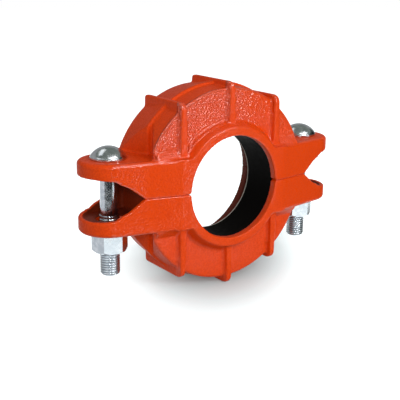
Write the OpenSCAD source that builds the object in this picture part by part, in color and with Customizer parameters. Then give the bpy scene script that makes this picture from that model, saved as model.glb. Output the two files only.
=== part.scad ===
// Grooved reducing coupling: two cast halves, a rubber gasket and two bolts with nuts.
// Millimetres. X runs from bolt to bolt, Y along the pipes with the small end at -Y, Z up.
// The origin is the middle of the whole coupling.

/* [Whole coupling] */
// Length along the pipes, from the front face to the rear face
body_length = 62.4; // [58:0.1:67]
// Distance between the two bolts
bolt_spacing = 196; // [190:0.5:206]
// How far the bolts stand behind the middle of the length
bolt_setback = 3.4; // [2:0.1:5]

/* [Key bores] */
// Bore of the key at the small end
small_key_diameter = 85.2; // [84:0.1:88]
// Bevel where the small key meets the parting plane
key_bevel = 1.6; // [0.8:0.1:2.4]
// Width of the key at the small end
small_key_width = 7; // [6:0.1:8.5]
// Bore of the key at the large end
large_key_diameter = 110.4; // [108:0.1:113]
// Width of the key at the large end
large_key_width = 8.2; // [6.5:0.1:9.5]

/* [Gasket room] */
// Diameter of the room behind the small key
small_room_diameter = 95; // [93:0.5:97]
// Diameter of the room in front of the large key
large_room_diameter = 132; // [128:0.5:136]
// Thickness of the front wall
front_wall = 8; // [6.5:0.1:9.5]
// Length of the full-width part of the room
large_room_length = 16.5; // [14:0.1:19]

/* [Casting outline] */
// Outside diameter of the front ring at its face
ring_diameter = 100.4; // [98:0.1:103]
// Outside diameter of the ring where it meets the front wall
ring_foot_diameter = 108; // [105:0.1:112]
// Depth from the ring's face back to the front wall
ring_depth = 10.2; // [8:0.1:12]
// Hollow rounding between the ring and the front wall
ring_fillet = 4.4; // [2.5:0.1:5.5]
// Outside diameter at the front wall
front_diameter = 160.4; // [156:0.2:165]
// Outside diameter at the crest
crest_diameter = 167.2; // [163:0.2:171]
// Depth from the front face back to the crest
crest_depth = 29.7; // [27:0.1:33]
// Step in radius at the crest
crest_step = 2; // [0.8:0.1:2.5]
// Outside diameter at the rear face
rear_diameter = 159.2; // [156:0.2:162]
// Rounding of the long outer edges
edge_rounding = 2; // [1:0.1:3.5]

/* [Flanks] */
// Half width of the flank just behind the crest
flank_half_width = 65.3; // [63:0.1:69]
// Half width of the flank at the rear face
flank_rear_half_width = 76.2; // [73:0.1:79]
// Half width of the flank just in front of the crest
flank_neck_half_width = 60.5; // [59:0.1:62.5]
// Half width of the flank at the front wall
flank_front_half_width = 72.6; // [69:0.1:75]

/* [Ribs] */
// Height of the middle rib above the bore axis
middle_rib_height = 85.8; // [84.6:0.1:90]
// Height of the two side ribs above the bore axis
side_rib_height = 72; // [69:0.1:74]
// Distance of the side ribs from the middle
side_rib_offset = 46.6; // [44:0.1:49]
// Thickness of a rib at its outer end
rib_tip_thickness = 4.6; // [3.8:0.1:5.4]
// Thickness of a rib at its foot
rib_foot_thickness = 6.6; // [5.8:0.1:8]
// Distance of the ribs' front edge behind the ring's face
rib_front_setback = 5.3; // [4:0.1:7]
// Distance of the ribs' rear edge in front of the rear face
rib_rear_setback = 0.4; // [0.2:0.1:2.5]
// Fall of a rib's outer edge from rear to front
rib_fall = 0.4; // [0.4:0.1:3]
// Rounding of a rib's front corner
rib_front_corner = 6.5; // [4:0.1:8]
// Rounding of a rib's rear corner
rib_rear_corner = 2.6; // [1.5:0.1:4]
// Hollow rounding between a rib and the front wall
rib_fillet = 4.2; // [2.5:0.1:5]

/* [Ears] */
// Height of the bolt pads above the parting plane
pad_height = 28.8; // [26.5:0.1:30]
// Radius of the ear's nose round the bolt
nose_radius = 24.5; // [23.5:0.1:27]
// Bevel round the pad's outer edge
pad_bevel = 2; // [1:0.1:2.6]
// Thickness of the ear at its tip
tip_thickness = 12; // [11:0.1:13.5]
// Half width where the two halves stop touching
contact_half_width = 81; // [79:0.1:84]
// Thickness of the plate under the bolt head
plate_thickness = 10; // [9:0.1:11]
// Thickness of the wall round the pocket
pocket_wall = 3.8; // [3:0.1:4.6]
// Half width at the inner end of the pocket
pocket_start = 74; // [71:0.1:77]
// Height of the cheek where it meets the front wall
cheek_height = 34; // [32:0.1:36]
// Half width of the flat front face where the ear sweeps back
cheek_half_width = 50.7; // [49:0.1:54]
// Bevel along the front edge of the parting plane
parting_bevel = 0.6; // [0.3:0.1:1.2]

/* [Bolts] */
// Diameter over the thread
thread_diameter = 16; // [15.5:0.05:16.4]
// Diameter of the plain shank
shank_diameter = 14.4; // [13.8:0.1:15.2]
// Length from under the head to the end
bolt_length = 94.2; // [88:0.1:98]
// Length of the thread
thread_length = 49.2; // [46:0.1:53]
// Diameter of the head
head_diameter = 29.2; // [28:0.1:31]
// Height of the head's straight rim
head_rim = 2; // [1:0.1:3]
// Height of the dome above the rim
head_dome = 8.2; // [7:0.1:9.5]
// Width of the oval neck
neck_width = 16.6; // [16.4:0.1:17]
// Length of the oval neck, along X
neck_length = 20.6; // [19.5:0.1:21]
// Depth of the oval neck
neck_depth = 8; // [6:0.1:8.9]
// Room between the neck and its oval hole, on each side
neck_clearance = 0.4; // [0.3:0.05:0.8]
// Bevel at the end of the bolt
bolt_bevel = 1.4; // [0.8:0.1:2]

/* [Nuts] */
// Distance across the flats
nut_flats = 25.4; // [24:0.1:27]
// Height of the nut
nut_height = 17; // [15:0.1:18]
// Room between the thread and the nut, on each side
nut_clearance = 0.05; // [0.02:0.01:0.09]
// Turn of the left nut as it was tightened
left_nut_turn = 43.8; // [0:0.1:60]
// Turn of the right nut as it was tightened
right_nut_turn = 37; // [0:0.1:60]

/* [Gasket] */
// Bore of the gasket's sleeve at the small end
sleeve_bore = 86.4; // [85.6:0.1:88.4]
// Depth of the sleeve's end behind the front face
sleeve_end_depth = 39.2; // [37:0.1:42]
// Thickness of the sleeve
sleeve_thickness = 3.4; // [2.8:0.1:3.8]
// Bore of the gasket's lip at the large end
lip_bore = 113; // [112.2:0.1:115]
// Length of the lip
lip_length = 13; // [11:0.1:14]
// Thickness of the rubber round the outside
gasket_wall = 4.6; // [3.8:0.1:5.2]
// Room between the rubber and the castings
gasket_room = 0.25; // [0.15:0.05:0.4]

/* [Show] */
// Which sub-part to draw

/* [Hidden] */
$fn = 96;
front_y = -body_length / 2;
rear_y = body_length / 2;
wall_y = front_y + ring_depth;
crest_y = front_y + crest_depth;
bolt_x = bolt_spacing / 2;
bolt_y = bolt_setback;
ear_x = bolt_x + nose_radius;
// how far the ear's front face sweeps back, and the direction square to it
lean = touch_angle(bolt_x - cheek_half_width, bolt_y - front_y, nose_radius);
small_key_r = small_key_diameter / 2;
large_key_r = large_key_diameter / 2;
small_room_r = small_room_diameter / 2;
large_room_r = large_room_diameter / 2;
// the room's ends along Y
room_front = front_y + small_key_width;
room_rear = rear_y - large_key_width;
shoulder_front = wall_y + front_wall;
shoulder_rear = room_rear - large_room_length;
// radius of the room just behind the front wall
shoulder_r = small_room_r + 7;
pocket_floor = pad_height - plate_thickness;
tip_z = pad_height - tip_thickness;
// height at which the outer side of a side rib's rounding meets the front edge
side_fillet_top = sqrt(pow(front_diameter / 2 - edge_rounding - 0.5, 2)
    - pow(side_rib_offset + rib_tip_thickness / 2 + rib_fillet, 2));
beyond = 1;

// Points of an arc from one angle to another, in n steps
function arc(x, y, r, from, to, n = 3) =
    [for (i = [0:n]) [x + r * cos(from + (to - from) * i / n), y + r * sin(from + (to - from) * i / n)]];

// Direction of the line that touches a circle of radius r, from a point dx, dy away from its centre
function touch_angle(dx, dy, r) = atan2(dy, dx) - asin(r / norm([dx, dy]));

// Turns a profile drawn as [radius, distance along Y] once round the bore axis
module turned(points) {
    rotate([90, 0, 0]) rotate_extrude() polygon([for (p = points) [p[0], -p[1]]]);
}

// The cast body before the room is taken out, as a solid of revolution
module body_blank() {
    slope = atan((ring_foot_diameter - ring_diameter) / 2 / ring_depth);
    fillet_r = ring_foot_diameter / 2 - ring_fillet * tan(slope) + ring_fillet / cos(slope);
    fall = atan((crest_diameter - 2 * crest_step - front_diameter) / 2 / (crest_y - wall_y));
    back = atan((crest_diameter - rear_diameter) / 2 / (rear_y - crest_y));
    turned(concat(
        [[0, front_y], [ring_diameter / 2 - 1, front_y], [ring_diameter / 2, front_y + 1]],
        arc(fillet_r, wall_y - ring_fillet, ring_fillet, 180 - slope, 90, 4),
        arc(front_diameter / 2 - edge_rounding, wall_y + edge_rounding, edge_rounding, -90, -fall),
        [[crest_diameter / 2 - crest_step, crest_y], [crest_diameter / 2, crest_y]],
        arc(rear_diameter / 2 - edge_rounding, rear_y - edge_rounding, edge_rounding, back, 90),
        [[0, rear_y]]));
}

// The room for the gasket with the two key bores
module room() {
    turned([[0, front_y - beyond], [small_key_r, front_y - beyond], [small_key_r, room_front],
        [small_room_r, room_front], [small_room_r, shoulder_front], [shoulder_r, shoulder_front],
        [large_room_r, shoulder_rear], [large_room_r, room_rear],
        [large_key_r, room_rear], [large_key_r, rear_y + beyond], [0, rear_y + beyond]]);
}

// The right ear from low to high, drawn in by the given margin and reaching inwards to the start line
module ear_block(margin, start, low, high) {
    reach = nose_radius - margin;
    // the straight sides end a hair inside the round nose
    r = reach - 0.01;
    touch = [bolt_x + r * sin(lean), bolt_y - r * cos(lean)];
    // where the drawn-in front face crosses the start line, or the flat front face
    bend = [cheek_half_width - margin * tan(lean / 2), front_y + margin];
    front = start < bend[0]
        ? [[start, bend[1]], bend]
        : [[start, touch[1] - (touch[0] - start) * tan(lean)]];
    translate([0, 0, low]) {
        linear_extrude(height = high - low)
            polygon(concat(front, [touch, [bolt_x, bolt_y + r], [start, bolt_y + r]]));
        translate([bolt_x, bolt_y, 0]) cylinder(r = reach, h = high - low);
    }
}

// What the bevel takes off the pad's front, nose and rear edges
module pad_bevel_cut() {
    over = 0.5;
    // the straight cuts lie a hair deeper than the round one and start a little before its ends
    hair = 0.02;
    lap = 2;
    corner = [[nose_radius - pad_bevel - over, pad_height + over], [nose_radius + over, pad_height + over],
        [nose_radius + over, pad_height - pad_bevel - over]];
    straight = [for (p = corner) [p[0] - hair, p[1]]];
    translate([bolt_x, bolt_y, 0]) {
        rotate([0, 0, lean - 90]) rotate_extrude(angle = 180 - lean) polygon(corner);
        // front edge
        rotate([90, 0, lean - 90]) translate([0, 0, -lap])
            linear_extrude(height = (bolt_x - cheek_half_width) / cos(lean) + lap) polygon(straight);
        // rear edge, as far as the body
        rotate([90, 0, 90]) mirror([0, 0, 1]) translate([0, 0, -lap])
            linear_extrude(height = bolt_x - flank_rear_half_width - 0.3 + lap) polygon(straight);
    }
}

// Bevel along the front edge of the parting plane, from side to side
module parting_bevel_cut() {
    side = parting_bevel * sqrt(2);
    translate([-cheek_half_width, front_y, 0]) rotate([45, 0, 0]) translate([0, -side / 2, -side / 2])
        cube([2 * cheek_half_width, side, side]);
    for (m = [0, 1]) mirror([m, 0, 0]) translate([cheek_half_width, front_y, 0]) rotate([0, 0, lean])
        rotate([45, 0, 0]) translate([-0.2, -side / 2, -side / 2])
        cube([contact_half_width - cheek_half_width + 6, side, side]);
}

// Bevel at the corners where the small key meets the parting plane
module key_bevel_cut() {
    side = key_bevel * sqrt(2);
    for (s = [-1, 1]) translate([s * small_key_r, 0, 0]) rotate([0, 45, 0])
        translate([-side / 2, front_y - beyond, -side / 2])
        cube([side, small_key_width + 2 * beyond, side]);
}

// The gap that opens between the two ears outside the contact faces
module ear_gap() {
    run = ear_x - contact_half_width;
    rotate([90, 0, 0]) linear_extrude(height = 2 * body_length, center = true)
        polygon([[contact_half_width, 0], [contact_half_width + run * 0.164, tip_z * 0.306],
            [contact_half_width + run * 0.304, tip_z * 0.569], [contact_half_width + run * 0.446, tip_z * 0.731],
            [contact_half_width + run * 0.561, tip_z * 0.913], [contact_half_width + run * 0.867, tip_z],
            [contact_half_width + run + 5, tip_z], [contact_half_width + run + 5, -5],
            [contact_half_width, -5]]);
}

module right_ear() {
    ear_block(0, large_room_r / 2, 0, pad_height);
    // cheek beside the ring, rising to the front wall
    translate([large_room_r / 2, 0, 0]) rotate([90, 0, 90])
        linear_extrude(height = flank_front_half_width - 2 - large_room_r / 2)
        polygon([[front_y + 4.5, pad_height - 4], [wall_y + 2, pad_height - 4], [wall_y + 2, cheek_height],
            [wall_y - 1, cheek_height], [front_y + 4.5, pad_height]]);
}

module right_pocket() {
    ear_block(pocket_wall, pocket_start, -beyond, pocket_floor);
    translate([bolt_x, bolt_y, 0]) linear_extrude(height = pad_height + beyond)
        oval(neck_length + 2 * neck_clearance, neck_width + 2 * neck_clearance);
}

// What stands outside the right flank above the pad
module right_flank_cut() {
    translate([0, 0, pad_height]) linear_extrude(height = middle_rib_height)
        polygon([[flank_neck_half_width, crest_y], [flank_half_width, crest_y],
            [flank_rear_half_width, rear_y], [flank_rear_half_width, rear_y + beyond],
            [crest_diameter, rear_y + beyond], [crest_diameter, wall_y - beyond],
            [flank_front_half_width, wall_y - beyond], [flank_front_half_width, wall_y]]);
}

// A rib at x, standing from its foot to its height, with hollow roundings along the front wall up to a height
module rib(x, foot, height, fillet_top) {
    y0 = front_y + rib_front_setback;
    y1 = rear_y - rib_rear_setback;
    side = rib_tip_thickness / 2;
    for (s = [-1, 1]) translate([x, wall_y, foot + 2]) linear_extrude(height = fillet_top - foot - 2)
        polygon(concat([[0, 2], [s * (side + rib_fillet), 2]],
            [for (p = arc(side + rib_fillet, -rib_fillet, rib_fillet, 90, 180, 4)) [s * p[0], p[1]]],
            [[0, -rib_fillet]]));
    intersection() {
        translate([x, 0, 0]) rotate([90, 0, 0]) linear_extrude(height = 2 * body_length, center = true)
            polygon([[-rib_foot_thickness / 2, foot], [rib_foot_thickness / 2, foot],
                [rib_tip_thickness / 2, height], [-rib_tip_thickness / 2, height]]);
        translate([x - rib_foot_thickness, 0, 0]) rotate([90, 0, 90])
            linear_extrude(height = 2 * rib_foot_thickness)
            polygon(concat([[y0, foot - beyond], [y1, foot - beyond]],
                arc(y1 - rib_rear_corner, height - rib_rear_corner, rib_rear_corner, 0, 90),
                arc(y0 + rib_front_corner, height - rib_fall - rib_front_corner, rib_front_corner, 90, 180, 4)));
    }
}

module oval(length, width) {
    hull() for (s = [-1, 1]) translate([s * (length - width) / 2, 0]) circle(d = width, $fn = 48);
}

// One casting, as the upper half
module housing_half() {
    difference() {
        union() {
            difference() {
                body_blank();
                right_flank_cut();
                mirror([1, 0, 0]) right_flank_cut();
            }
            right_ear();
            mirror([1, 0, 0]) right_ear();
            rib(0, large_room_r - 18, middle_rib_height, front_diameter / 2 - edge_rounding - 0.5);
            for (x = [-side_rib_offset, side_rib_offset])
                rib(x, pad_height - 3, side_rib_height, side_fillet_top);
        }
        room();
        right_pocket();
        mirror([1, 0, 0]) right_pocket();
        ear_gap();
        mirror([1, 0, 0]) ear_gap();
        pad_bevel_cut();
        mirror([1, 0, 0]) pad_bevel_cut();
        parting_bevel_cut();
        key_bevel_cut();
        // the other half's side of the parting plane
        translate([-bolt_spacing, -body_length, -2 * crest_diameter])
            cube([2 * bolt_spacing, 2 * body_length, 2 * crest_diameter]);
    }
}

module bolt(x) {
    translate([x, bolt_y, 0]) {
        // head: a straight rim with a dome
        translate([0, 0, pad_height]) {
            cylinder(d = head_diameter, h = head_rim);
            dome_r = (pow(head_diameter / 2, 2) + pow(head_dome, 2)) / (2 * head_dome);
            translate([0, 0, head_rim]) intersection() {
                translate([0, 0, head_dome - dome_r]) sphere(r = dome_r);
                cylinder(d = head_diameter + 2, h = head_dome + 1);
            }
        }
        translate([0, 0, pad_height - neck_depth]) linear_extrude(height = neck_depth)
            oval(neck_length, neck_width);
        translate([0, 0, pad_height - bolt_length + thread_length - 1])
            cylinder(d = shank_diameter, h = bolt_length - thread_length + 1 - neck_depth / 2);
        translate([0, 0, pad_height - bolt_length]) {
            cylinder(d1 = thread_diameter - 2 * bolt_bevel, d2 = thread_diameter, h = bolt_bevel);
            translate([0, 0, bolt_bevel]) cylinder(d = thread_diameter, h = thread_length - bolt_bevel);
        }
    }
}

module nut(x, turn) {
    corners = nut_flats / cos(30);
    bevel = (corners - nut_flats) * tan(30) * 0.9;
    difference() {
        translate([x, bolt_y, -pad_height - nut_height]) rotate([0, 0, turn]) intersection() {
            cylinder(d = corners, h = nut_height, $fn = 6);
            rotate_extrude() polygon([[0, 0], [nut_flats / 2 - 0.3, 0], [corners / 2 + 0.1, bevel],
                [corners / 2 + 0.1, nut_height - bevel], [nut_flats / 2 - 0.3, nut_height], [0, nut_height]]);
        }
        translate([x, bolt_y, -pad_height - nut_height - beyond])
            cylinder(d = thread_diameter + 2 * nut_clearance, h = nut_height + 2 * beyond);
    }
}

module upper_housing() color([0.82, 0.2, 0.06]) housing_half();

module lower_housing() color([0.82, 0.2, 0.06]) rotate([0, 180, 0]) housing_half();

// C-shaped rubber ring with a long sleeve at the small end and a lip at the large end
module gasket() color([0.06, 0.06, 0.06]) {
    g = gasket_room;
    sleeve_r = sleeve_bore / 2;
    sleeve_end = front_y + sleeve_end_depth;
    lip_r = lip_bore / 2;
    lip_front = room_rear - lip_length;
    turned([[sleeve_r, room_front], [sleeve_r, sleeve_end], [sleeve_r + sleeve_thickness * 0.8, sleeve_end],
        [sleeve_r + sleeve_thickness, shoulder_front + 3 + g],
        [shoulder_r - gasket_wall, shoulder_front + gasket_wall],
        [large_room_r - gasket_wall, shoulder_rear], [large_room_r - gasket_wall, room_rear - 5],
        [lip_r + 3.6, room_rear - 5], [lip_r + 2.4, lip_front], [lip_r, lip_front], [lip_r, room_rear],
        [large_room_r - g, room_rear], [large_room_r - g, shoulder_rear],
        [shoulder_r - g, shoulder_front + g], [small_room_r - g, shoulder_front + g],
        [small_room_r - g, room_front]]);
}

module left_bolt() color([0.78, 0.78, 0.76]) bolt(-bolt_x);

module right_bolt() color([0.78, 0.78, 0.76]) bolt(bolt_x);

module left_nut() color([0.78, 0.78, 0.76]) nut(-bolt_x, left_nut_turn);

module right_nut() color([0.78, 0.78, 0.76]) nut(bolt_x, right_nut_turn);

upper_housing();
lower_housing();
gasket();
left_bolt();
right_bolt();
left_nut();
right_nut();
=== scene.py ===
"""Looks of a grooved reducing coupling: two painted iron castings, a rubber gasket, plated bolts and nuts."""
import math

import bpy
import bmesh
from mathutils import Matrix, Vector


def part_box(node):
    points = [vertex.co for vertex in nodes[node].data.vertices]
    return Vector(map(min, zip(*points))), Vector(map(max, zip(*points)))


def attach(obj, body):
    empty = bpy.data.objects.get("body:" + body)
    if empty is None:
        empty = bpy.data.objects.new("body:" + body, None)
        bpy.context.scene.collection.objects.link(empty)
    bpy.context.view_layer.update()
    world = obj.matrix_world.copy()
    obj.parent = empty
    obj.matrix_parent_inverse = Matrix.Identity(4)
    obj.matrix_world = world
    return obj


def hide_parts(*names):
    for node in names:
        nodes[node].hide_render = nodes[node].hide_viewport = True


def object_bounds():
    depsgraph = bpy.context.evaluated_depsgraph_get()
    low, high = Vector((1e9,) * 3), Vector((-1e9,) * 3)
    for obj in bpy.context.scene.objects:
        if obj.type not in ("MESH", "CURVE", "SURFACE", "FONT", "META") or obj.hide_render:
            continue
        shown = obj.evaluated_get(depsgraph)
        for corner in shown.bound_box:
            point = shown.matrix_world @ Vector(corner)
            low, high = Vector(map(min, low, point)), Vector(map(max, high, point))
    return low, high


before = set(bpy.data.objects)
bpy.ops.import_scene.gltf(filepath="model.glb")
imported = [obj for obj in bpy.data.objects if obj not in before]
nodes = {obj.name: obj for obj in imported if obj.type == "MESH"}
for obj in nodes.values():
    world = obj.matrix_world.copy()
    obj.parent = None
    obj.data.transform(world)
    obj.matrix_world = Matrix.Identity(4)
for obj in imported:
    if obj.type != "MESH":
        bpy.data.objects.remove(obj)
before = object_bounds()
scene = bpy.context.scene

# Sizes on the object and in every shader are in millimetres. The studio's places are in metres.
MM = 0.001

# Sizes of the bolts
HEAD_RADIUS = 14.6
HEAD_RIM = 2.0
HEAD_DOME = 8.2
SHANK_RADIUS = 7.2
THREAD_LENGTH = 49.2
THREAD_RADIUS = 8.0
THREAD_PITCH = 2.0
THREAD_DEPTH = 1.2
THREAD_BEVEL = 1.5

# Where the bolts stand, from the frame; the left bolt mirrors the right one
bolt_low, bolt_high = ([v / MM for v in corner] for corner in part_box("right_bolt"))
BOLT_X = bolt_high[0] - HEAD_RADIUS
BOLT_Y = (bolt_low[1] + bolt_high[1]) / 2
BOLT_FOOT, BOLT_TOP = bolt_low[2], bolt_high[2]
EAR_TOP = BOLT_TOP - HEAD_DOME - HEAD_RIM
THREAD_TOP = BOLT_FOOT + THREAD_LENGTH

# Places on the castings and the gasket where the finish changes
RING_DEPTH = 10.2
FRONT_WALL = before[0][1] / MM + RING_DEPTH
EAR_PLATE = 10.0
POCKET_ROOF = EAR_TOP - EAR_PLATE
POCKET_RADIUS = 20.7
POCKET_START = 74.0
LARGE_KEY_RADIUS = 55.2
SLEEVE_RADIUS = 43.2
SLEEVE_END = 8.0

# Voxels of a casting's rounded copy, and how often it is smoothed
CASTING_VOXEL = 0.88
CASTING_SMOOTHINGS = 3


# Node trees written as expressions

class Value:
    """A node's output that sums, differences, products and quotients can be written with."""

    def __init__(self, graph, socket):
        self.graph = graph
        self.socket = socket

    def __add__(self, other):
        return self.graph.maths("ADD", self, other)

    def __radd__(self, other):
        return self.graph.maths("ADD", other, self)

    def __sub__(self, other):
        return self.graph.maths("SUBTRACT", self, other)

    def __rsub__(self, other):
        return self.graph.maths("SUBTRACT", other, self)

    def __mul__(self, other):
        return self.graph.maths("MULTIPLY", self, other)

    def __rmul__(self, other):
        return self.graph.maths("MULTIPLY", other, self)

    def __truediv__(self, other):
        return self.graph.maths("DIVIDE", self, other)

    def __rtruediv__(self, other):
        return self.graph.maths("DIVIDE", other, self)


class Graph:
    """A node tree, of a material, of the world or of a shape, written from top to bottom."""

    def __init__(self, tree):
        self.tree = tree

    def plug(self, socket, value):
        """Links a value to a socket, or sets the socket to a number or to a colour of three numbers."""
        if isinstance(value, Value):
            self.tree.links.new(value.socket, socket)
        elif isinstance(value, tuple):
            socket.default_value = (*value, 1)
        else:
            socket.default_value = value

    def node(self, kind, sockets=None, result=0, **settings):
        """Adds a node: its settings first, then its sockets by name or number. Gives the output asked for."""
        made = self.tree.nodes.new(kind)
        for key, value in settings.items():
            setattr(made, key, value)
        for key, value in (sockets or {}).items():
            self.plug(made.inputs[key], value)
        return Value(self, made.outputs[result])

    def maths(self, operation, *terms):
        """A Math node on numbers or values."""
        return self.node("ShaderNodeMath", dict(enumerate(terms)), operation=operation)

    def distance(self, first, second):
        """Distance from an axis, by two offsets at right angles."""
        return self.maths("SQRT", first * first + second * second)

    def step(self, value, low, high, to_low=0.0, to_high=1.0):
        """Goes smoothly from to_low to to_high while value goes from low to high."""
        sockets = {"Value": value, "From Min": low, "From Max": high, "To Min": to_low, "To Max": to_high}
        return self.node("ShaderNodeMapRange", sockets, interpolation_type="SMOOTHSTEP")

    def fall(self, value, low, high):
        """1 up to low, and 0 from high on."""
        return self.step(value, low, high, 1.0, 0.0)

    def parts(self, vector):
        """The X, Y and Z of a vector."""
        split = self.node("ShaderNodeSeparateXYZ", {0: vector}).socket.node
        return [Value(self, output) for output in split.outputs]


class Shader(Graph):
    """A material with one Principled surface."""

    def __init__(self, name):
        self.material = bpy.data.materials.new(name)
        self.material.use_nodes = True
        super().__init__(self.material.node_tree)
        self.surface = self.tree.nodes["Principled BSDF"]
        self.place = self.node("ShaderNodeTexCoord", result="Object")

    def millimetres(self):
        """The place on the object as X, Y and Z in millimetres."""
        scaled = self.node("ShaderNodeVectorMath", {0: self.place, "Scale": 1 / MM}, operation="SCALE")
        return self.parts(scaled)

    def noise(self, scale, detail, roughness):
        """Smooth noise on the object's place, with about scale waves to a metre."""
        sockets = {"Vector": self.place, "Scale": scale, "Detail": detail, "Roughness": roughness}
        return self.node("ShaderNodeTexNoise", sockets)

    def blend(self, share, first, second):
        """A colour between two colours."""
        return self.node("ShaderNodeMix", {0: share, 6: first, 7: second}, 2, data_type="RGBA")

    def bump(self, height, distance):
        """A normal, bent as if height from 0 to 1 stood for the distance in millimetres."""
        return self.node("ShaderNodeBump", {"Height": height, "Distance": distance * MM})

    def set(self, sockets):
        """Sets or links sockets of the Principled surface and gives the finished material."""
        for key, value in sockets.items():
            self.plug(self.surface.inputs[key], value)
        return self.material

    def cover(self, layer, share):
        """Lets a second surface show by its share of the first."""
        under = Value(self, self.surface.outputs[0])
        mix = self.node("ShaderNodeMixShader", {0: self.maths("MINIMUM", share, 1.0), 1: under, 2: layer})
        self.plug(self.tree.nodes["Material Output"].inputs["Surface"], mix)
        return self.material


# Finishes

ORANGE = (0.66, 0.046, 0.0010)
BRIGHT_ORANGE = (0.74, 0.056, 0.0012)
# painted shade, darkening the paint in the far bore and in the pockets under the ears
PAINT_IN_PAINTED_SHADE = (0.05, 0.012, 0.006)
BLACK_RUBBER = (0.0025, 0.0020, 0.0016)
# painted highlight, a pale line on the far edge of the gasket's sleeve
RUBBER_IN_PAINTED_HIGHLIGHT = (0.42, 0.38, 0.33)
GREY_ZINC = (0.56, 0.60, 0.64)
PALE_ZINC = (0.74, 0.77, 0.80)
# painted shade for the roots of the bolts' threads
ZINC_IN_PAINTED_SHADE = (0.10, 0.11, 0.13)


def casting_paint():
    """Orange paint over sand-cast iron: coarse glinting grain on the recessed walls, finer on the faces."""
    s = Shader("casting paint")
    x, y, z = s.millimetres()
    width, height = s.maths("ABSOLUTE", x), s.maths("ABSOLUTE", z)

    # front is 1 on all faces up to the front wall; recess is the front wall, most at the upper left
    front = s.fall(y, FRONT_WALL + 1.2, FRONT_WALL + 3.0)
    recess = (s.step(y, FRONT_WALL - 4.8, FRONT_WALL - 3.0) * front
              * s.step(height, EAR_TOP, EAR_TOP + 2, 0.25)
              * s.step(z, -30, 30, 0.12) * s.step(x, -5, 40, 1.0, 0.28))

    # eased edges and fillets, which lean between the front and another side, by the normal's X and Y
    sideways, lean, _ = s.parts(s.node("ShaderNodeTexCoord", result="Normal"))
    eased = (s.step(lean, -0.97, -0.86) * s.fall(lean, -0.45, -0.2) * s.step(sideways, -0.62, -0.35)
             * front * s.step(z, -30, 10, 0.15))

    # painted shade: the paint's colour is darkened in the far bore and in the pockets under the ears, where
    # the shade falls
    far_bore_shade = s.fall(s.distance(x, z), LARGE_KEY_RADIUS + 0.3, LARGE_KEY_RADIUS + 2.3) * s.step(y, 0, 10)
    past_bolt = s.maths("MAXIMUM", width - BOLT_X, 0.0)
    ear_pocket_shade = (s.fall(s.distance(past_bolt, y - BOLT_Y), POCKET_RADIUS + 0.1, POCKET_RADIUS + 0.7)
              * s.step(width, POCKET_START - 0.5, POCKET_START + 0.2)
              * s.fall(height, POCKET_ROOF + 0.2, POCKET_ROOF + 1.0))

    # three sizes of unevenness, the finer ones strongest where the sand was coarse
    grain = s.noise(680, 1, 0.5)
    clumps = s.noise(250, 2, 0.5)
    waves = s.noise(70, 2, 0.5)
    rough = recess * (1.0 - eased * 0.75)
    relief = grain * (rough * 1.25 + eased * 0.25 + 0.18) + clumps * (rough * 0.7 + 0.1) + waves * 0.3
    skin = s.bump(relief, 1.1)
    full = s.blend(s.step(grain, 0.35, 0.68), ORANGE, BRIGHT_ORANGE)
    # the far bore and the ear pockets take the painted shade
    colour = s.blend(s.maths("MAXIMUM", far_bore_shade * 0.87, ear_pocket_shade * 0.82), full, PAINT_IN_PAINTED_SHADE)
    s.set({"Base Color": colour, "Roughness": s.step(grain, 0.35, 0.7, 0.5, 0.4), "Specular IOR Level": 0.11,
           "Normal": skin})

    # a glossy second surface where the paint glints
    glaze = s.node("ShaderNodeBsdfPrincipled", {"Base Color": colour, "Roughness": 0.08,
                                                "Specular IOR Level": 1.0, "Normal": skin})
    specks = (s.step(grain, 0.55, 0.63) * 0.6 + 0.03) * front * s.step(z, -45, -20, 0.3)
    return s.cover(glaze, recess + eased * 0.8 + specks)


def rubber():
    """Black rubber, with a painted highlight: a pale line along the far edge of the sleeve."""
    s = Shader("gasket rubber")
    x, y, z = s.millimetres()
    skin = s.noise(300, 3, 0.6)
    # painted highlight: the sleeve's far edge is coloured pale where its edge catches the light
    edge = (s.step(y, SLEEVE_END - 1.4, SLEEVE_END - 0.9)
            * s.fall(s.distance(x, z), SLEEVE_RADIUS + 0.2, SLEEVE_RADIUS + 0.5))
    return s.set({"Base Color": s.blend(edge, BLACK_RUBBER, RUBBER_IN_PAINTED_HIGHLIGHT),
                  "Roughness": s.step(skin, 0.3, 0.7, 0.5, 0.62), "Specular IOR Level": 0.02,
                  "Normal": s.bump(skin, 0.1)})


def zinc():
    """Bright zinc plating on rolled and forged steel, with painted shade darkening the roots of the bolts'
    threads.
    """
    s = Shader("zinc plating")
    x, y, z = s.millimetres()
    spangle = s.noise(180, 3, 0.6)
    plate = s.blend(s.step(spangle, 0.35, 0.7), GREY_ZINC, PALE_ZINC)
    # painted shade: the zinc's colour is darkened in the thread roots, where the shade falls
    from_axis = s.distance(s.maths("ABSOLUTE", x) - BOLT_X, y - BOLT_Y)
    root_radius = THREAD_RADIUS - THREAD_DEPTH
    thread_root_shade = s.fall(from_axis, root_radius, root_radius + 0.7) * s.fall(z, THREAD_TOP - 1.6, THREAD_TOP - 1.0)
    return s.set({"Base Color": s.blend(thread_root_shade * 0.45, plate, ZINC_IN_PAINTED_SHADE), "Metallic": 1.0,
                  "Roughness": s.step(spangle, 0.3, 0.7, 0.14, 0.24),
                  "Normal": s.bump(s.noise(420, 2, 0.5), 0.06)})


def cloth(name, low, high=None):
    """A flag's cloth. Its own light stands for what it sends back, low near the floor and high overhead."""
    s = Shader(name)
    glow = low
    if high:
        _, _, z = s.millimetres()
        glow = s.blend(s.step(z, 1000, 1500), low, high)
    return s.set({"Base Color": (0.015, 0.015, 0.015), "Roughness": 1.0, "Specular IOR Level": 0.0,
                  "Emission Color": glow, "Emission Strength": 1.0})


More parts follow.
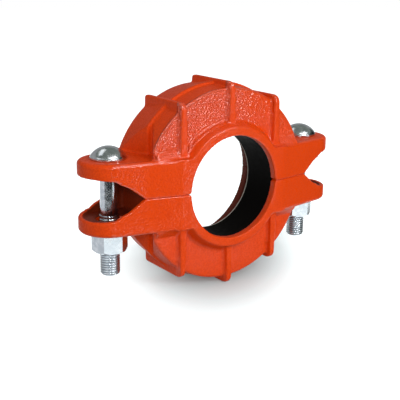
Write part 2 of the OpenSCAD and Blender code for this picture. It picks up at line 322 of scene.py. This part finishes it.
BLACK_CLOTH = cloth("black cloth", (0.01, 0.01, 0.01), (0.20, 0.22, 0.195))
GREY_CLOTH = cloth("grey cloth", (0.72, 0.74, 0.77))
DARK_CLOTH = cloth("dark cloth", (0.35, 0.35, 0.35))
WHITE_CARD = cloth("white card", (3.0, 3.0, 3.0))
PAINT = casting_paint()
RUBBER = rubber()
PLATING = zinc()


# Pieces

def dress(obj, material):
    """Gives an object one material in place of its own."""
    obj.data.materials.clear()
    obj.data.materials.append(material)


def settle(obj):
    """Turns an object's modifiers into plain mesh."""
    graph = bpy.context.evaluated_depsgraph_get()
    mesh = bpy.data.meshes.new_from_object(obj.evaluated_get(graph))
    obj.modifiers.clear()
    obj.data = mesh


def new_object(name, data):
    """A linked object at the origin, of a mesh, a lamp or a camera."""
    made = bpy.data.objects.new(name, data)
    scene.collection.objects.link(made)
    return made


def joined_copy(name):
    """A copy of a CAD node's mesh with its loose triangles merged."""
    mesh = nodes[name].data.copy()
    work = bmesh.new()
    work.from_mesh(mesh)
    bmesh.ops.remove_doubles(work, verts=work.verts, dist=0.01 * MM)
    work.to_mesh(mesh)
    work.free()
    return mesh


def casting(name, body):
    """A cast half with its edges and inner corners rounded as a sand mould leaves them."""
    made = new_object(name + "_casting", joined_copy(name))
    grid = made.modifiers.new("mould", "REMESH")
    grid.mode = "VOXEL"
    grid.voxel_size = CASTING_VOXEL * MM
    soft = made.modifiers.new("rounding", "SMOOTH")
    soft.factor = 0.5
    soft.iterations = CASTING_SMOOTHINGS
    settle(made)
    made.data.shade_smooth()
    dress(made, PAINT)
    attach(made, body)
    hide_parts(name)


def thread_tree():
    """A threaded rod along Z: a sheet wound into a tube whose radius rises and falls along a helix."""
    tree = bpy.data.node_groups.new("threaded rod", "GeometryNodeTree")
    sockets = {}
    for name, value in (("Bottom", BOLT_FOOT), ("Length", THREAD_LENGTH), ("Radius", THREAD_RADIUS),
                        ("Pitch", THREAD_PITCH), ("Depth", THREAD_DEPTH), ("Bevel", THREAD_BEVEL),
                        ("Centre X", 0.0), ("Centre Y", 0.0)):
        item = tree.interface.new_socket(name, in_out="INPUT", socket_type="NodeSocketFloat")
        item.default_value = value * MM
        sockets[name] = item.identifier
    item = tree.interface.new_socket("Material", in_out="INPUT", socket_type="NodeSocketMaterial")
    sockets["Material"] = item.identifier
    tree.interface.new_socket("Geometry", in_out="OUTPUT", socket_type="NodeSocketGeometry")

    g = Graph(tree)
    given = tree.nodes.new("NodeGroupInput")
    size = {output.name: Value(g, output) for output in given.outputs if output.name}
    around, rows = 56, 260
    sheet = g.node("GeometryNodeMeshGrid", {"Size X": 1.0, "Size Y": 1.0, "Vertices X": around + 1,
                                            "Vertices Y": rows})
    u, v, _ = g.parts(g.node("GeometryNodeInputPosition"))
    turn = (u + 0.5) * (2 * math.pi)

    # the sheet runs a little past both ends, and what is past them lies flat on the end
    overrun = 0.01
    along = (v + 0.5) * (1 + 2 * overrun) - overrun
    height = g.maths("MINIMUM", g.maths("MAXIMUM", along, 0.0), 1.0) * size["Length"]

    # 0 at a root and 1 at a crest, with narrow flats on both; the thread runs out at the top
    wave = g.maths("PINGPONG", height / size["Pitch"] - (u + 0.5), 0.5) * 2.0
    tooth = g.step(wave, 0.05, 0.95)
    fade = g.step(height, size["Length"] - size["Pitch"] * 1.6, size["Length"] - size["Pitch"] * 0.4)
    threaded = size["Radius"] - (1.0 - tooth) * size["Depth"] * (1.0 - fade)
    bevelled = size["Radius"] - size["Bevel"] + height

    # the first and last rows close the ends
    inside = g.maths("LESS_THAN", g.maths("ABSOLUTE", v), 0.4999)
    radius = g.maths("MINIMUM", threaded, bevelled) * inside
    place = g.node("ShaderNodeCombineXYZ", {"X": size["Centre X"] + radius * g.maths("COSINE", turn),
                                            "Y": size["Centre Y"] + radius * g.maths("SINE", turn),
                                            "Z": size["Bottom"] + height})
    wound = g.node("GeometryNodeSetPosition", {"Geometry": sheet, "Position": place})
    merged = g.node("GeometryNodeMergeByDistance", {"Geometry": wound, "Distance": 0.01 * MM})
    real = g.node("GeometryNodeRealizeInstances", {"Geometry": merged})
    done = g.node("GeometryNodeSetMaterial", {"Geometry": real, "Material": size["Material"]})
    g.plug(tree.nodes.new("NodeGroupOutput").inputs[0], done)
    return tree, sockets


def threaded_rod(name, x, thread):
    """The wound thread of one bolt, as a mesh."""
    rod = new_object(name, bpy.data.meshes.new(name))
    tree, sockets = thread
    wound = rod.modifiers.new("thread", "NODES")
    wound.node_group = tree
    for socket, value in (("Centre X", x * MM), ("Centre Y", BOLT_Y * MM), ("Material", PLATING)):
        wound[sockets[socket]] = value
    settle(rod)
    mesh = rod.data
    bpy.data.objects.remove(rod)
    return mesh


def turned_mesh(name, outline, x, steps=72):
    """A closed solid of revolution about a bolt's axis. outline is [radius, height] from bottom to top."""
    work = bmesh.new()
    rings = []
    for radius, z in outline:
        angles = [2 * math.pi * n / steps for n in range(steps)] if radius else [0.0]
        rings.append([work.verts.new(((x + radius * math.cos(a)) * MM, (BOLT_Y + radius * math.sin(a)) * MM,
                                      z * MM)) for a in angles])
    for low, high in zip(rings, rings[1:]):
        for i in range(steps):
            j = (i + 1) % steps
            corners = [low[i % len(low)], low[j % len(low)], high[j % len(high)], high[i % len(high)]]
            corners = list(dict.fromkeys(corners))
            if len(corners) > 2:
                work.faces.new(corners)
    bmesh.ops.recalc_face_normals(work, faces=work.faces)
    mesh = bpy.data.meshes.new(name)
    work.to_mesh(mesh)
    work.free()
    return mesh


def smooth_by_angle(mesh, degrees):
    """Smooth shading with sharp edges kept where faces meet at more than the angle."""
    mesh.shade_smooth()
    work = bmesh.new()
    work.from_mesh(mesh)
    for edge in work.edges:
        edge.smooth = len(edge.link_faces) == 2 and edge.calc_face_angle(0) < math.radians(degrees)
    work.to_mesh(mesh)
    work.free()


def head_outline(steps=12):
    """Rim and dome of the forged head, with the dome's foot and the rim's edges eased."""
    rim_top = EAR_TOP + HEAD_RIM
    outline = [(0, EAR_TOP), (HEAD_RADIUS - 0.5, EAR_TOP), (HEAD_RADIUS, EAR_TOP + 0.5),
               (HEAD_RADIUS, rim_top - 0.3), (HEAD_RADIUS - 0.35, rim_top + 0.1)]
    ball = (HEAD_RADIUS ** 2 + HEAD_DOME ** 2) / (2 * HEAD_DOME)
    foot = math.asin((HEAD_RADIUS - 0.5) / ball)
    for n in range(steps):
        a = foot * (1 - n / steps)
        outline.append((ball * math.sin(a), BOLT_TOP - ball + ball * math.cos(a)))
    return outline + [(0, BOLT_TOP)]


def shank_outline():
    """Plain shank with a bevel at its foot. The rings close to its ends keep its shading level."""
    return [(0, THREAD_TOP - 1.3), (SHANK_RADIUS - 0.2, THREAD_TOP - 1.3), (SHANK_RADIUS, THREAD_TOP - 0.6),
            (SHANK_RADIUS, THREAD_TOP - 0.1), (SHANK_RADIUS, EAR_TOP), (SHANK_RADIUS, EAR_TOP + 0.2),
            (0, EAR_TOP + 0.2)]


def bolt(name, x, thread):
    """A track bolt: domed head, plain shank and rolled thread."""
    work = bmesh.new()
    for mesh, degrees in ((turned_mesh(name + " head", head_outline(), x), 35),
                          (turned_mesh(name + " shank", shank_outline(), x), 35),
                          (threaded_rod(name + " rod", x, thread), 60)):
        smooth_by_angle(mesh, degrees)
        work.from_mesh(mesh)
    made = new_object(name + "_plated", bpy.data.meshes.new(name + "_plated"))
    work.to_mesh(made.data)
    work.free()
    dress(made, PLATING)
    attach(made, "upper_half")
    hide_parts(name)


casting("upper_housing", "upper_half")
casting("lower_housing", "lower_half")
rolled_thread = thread_tree()
bolt("left_bolt", -BOLT_X, rolled_thread)
bolt("right_bolt", BOLT_X, rolled_thread)
dress(nodes["gasket"], RUBBER)
for name in ("left_nut", "right_nut"):
    dress(nodes[name], PLATING)


# Studio

FLOOR = before[0][2]
CLOTH_LEVEL = FLOOR + 0.3 * MM
CLOTH_REACH = 2.2
WALL_TOP = 2.4
CEILING = 1.6
CENTRE = (0, 0)
LEFT_EAR = (-BOLT_X * MM, 0)


def lamp(name, place, width, height, power):
    """A softbox that faces the object. One without a height of its own is square."""
    data = bpy.data.lights.new(name, "AREA")
    data.energy = power
    data.size = width
    if height:
        data.shape = "RECTANGLE"
        data.size_y = height
    made = new_object(name, data)
    made.location = place
    made.rotation_mode = "QUATERNION"
    made.rotation_quaternion = (-made.location).to_track_quat("-Z", "Y")


def seen_directly(graph):
    """1 for what the camera sees, straight or in a polished surface, and 0 for light on the object."""
    rays = [graph.node("ShaderNodeLightPath", result="Is " + kind + " Ray")
            for kind in ("Camera", "Glossy", "Transmission")]
    return graph.maths("MINIMUM", rays[0] + rays[1] + rays[2], 1.0)


def floor(reach=6.0):
    """A white floor that keeps the object's soft shadow, with a painted shadow in its own light about the
    object, and goes over into the white backdrop.
    """
    mesh = bpy.data.meshes.new("floor")
    mesh.from_pydata([(-reach, -reach, FLOOR), (reach, -reach, FLOOR), (reach, reach, FLOOR),
                      (-reach, reach, FLOOR)], [], [(0, 1, 2, 3)])
    made = new_object("floor", mesh)
    s = Shader("white floor")
    x, y, _ = s.millimetres()

    # painted shadow: the floor's own light is dimmed in the shadow's core, a long patch about a point, that
    # reaches back to the right, away from the lamps
    turn, narrowing = 0.927, 0.476
    right, deep = x - 44, y - 59.5
    along = (right * math.cos(turn) + deep * math.sin(turn)) * narrowing
    across = deep * math.cos(turn) - right * math.sin(turn)
    painted_shadow_patch = s.step(s.distance(along, across), 26, 108, to_low=0.06)
    shade = s.maths("MAXIMUM", painted_shadow_patch, s.step(y, 75, 125))
    s.set({"Base Color": (0.43, 0.53, 0.54), "Roughness": 1.0, "Specular IOR Level": 0.0,
           "Emission Color": s.blend(shade, (0.0, 0.0, 0.0), (1.0, 1.0, 1.0)),
           "Emission Strength": seen_directly(s)})
    mesh.materials.append(s.material)


def backdrop():
    """A white world that lights the object at about a third of what the camera sees."""
    world = bpy.data.worlds.new("studio")
    scene.world = world
    world.use_nodes = True
    g = Graph(world.node_tree)
    sky = world.node_tree.nodes["Background"]
    g.plug(sky.inputs["Color"], (1.0, 1.0, 1.0))
    g.plug(sky.inputs["Strength"], seen_directly(g) * 0.65 + 0.35)


def sector(name, first, last, ring_a, ring_b, centre=CENTRE, steps=16, material=BLACK_CLOTH):
    """A flag that shows only in reflections, as a studio hangs them out of the picture.

    It lies between two rings [radius, height] about a centre, from one bearing to another; 0 is in front.
    """
    corners = []
    for n in range(steps + 1):
        a = math.radians(first + (last - first) * n / steps)
        corners += [(centre[0] + radius * math.sin(a), centre[1] - radius * math.cos(a), height)
                    for radius, height in (ring_a, ring_b)]
    mesh = bpy.data.meshes.new(name)
    mesh.from_pydata(corners, [], [(2 * n + 2, 2 * n, 2 * n + 1, 2 * n + 3) for n in range(steps)])
    made = new_object(name, mesh)
    made.visible_camera = made.visible_diffuse = made.visible_shadow = False
    mesh.materials.append(material)


def studio():
    """Lamps, the white surroundings, and the flags that the gloss and the metal reflect."""
    for name, place, width, height, power in (
            ("key softbox", (0.6, -1.2, 0.45), 0.2, None, 5.6),
            ("front left softbox", (-0.68, -1.1, 0.42), 0.2, None, 5.2),
            ("left softbox", (-1.25, -0.55, 0.3), 0.5, 0.9, 1.0),
            ("front top softbox", (0.06, -1.05, 0.72), 0.22, 0.55, 4.4),
            ("back softbox", (-0.35, 0.6, 1.15), 0.9, 0.4, 1.2)):
        lamp(name, place, width, height, power)
    backdrop()
    floor()
    foot, wall_top = (CLOTH_REACH, CLOTH_LEVEL), (CLOTH_REACH, WALL_TOP)
    for side, first, last, centre in (("left", -61, 21, LEFT_EAR), ("right", 38, 105, CENTRE)):
        sector(side + "_wall_flag", first, last, foot, wall_top)
        sector(side + "_floor_flag", first, last, (0.215, CLOTH_LEVEL), foot, centre)
    sector("side_floor_flag", -84, -61, (0.24, CLOTH_LEVEL), foot, LEFT_EAR)
    sector("grey_floor_flag", -170, -84, (0.06, CLOTH_LEVEL), foot, LEFT_EAR, material=GREY_CLOTH)
    sector("back_wall_flag", 105, 255, foot, wall_top, material=DARK_CLOTH)
    sector("top_card", -28, 45, (0.85, CEILING - 0.01), (1.55, CEILING - 0.01), material=WHITE_CARD)
    sector("ceiling_flag", 0, 360, (0.01, CEILING), (2.4, CEILING), steps=32)


def camera():
    """Stands low in front of the small end, to the left, with a short telephoto lens."""
    place = Vector((-0.3883, -0.5340, 0.1627))
    yaw, pitch, roll = (math.radians(a) for a in (-35.083, 15.312, 0.785))
    back = Vector((math.sin(yaw) * math.cos(pitch), -math.cos(yaw) * math.cos(pitch), math.sin(pitch)))
    right = Vector((0, 0, 1)).cross(back).normalized()
    up = back.cross(right)
    tilted_right = math.cos(roll) * right + math.sin(roll) * up
    tilted_up = -math.sin(roll) * right + math.cos(roll) * up
    data = bpy.data.cameras.new("camera")
    data.lens = 72.2
    data.sensor_width = 36
    made = new_object("camera", data)
    turn = Matrix((tilted_right, tilted_up, back)).transposed().to_4x4()
    made.matrix_world = Matrix.Translation(place) @ turn
    scene.camera = made


studio()
camera()
scene.view_settings.view_transform = "Standard"
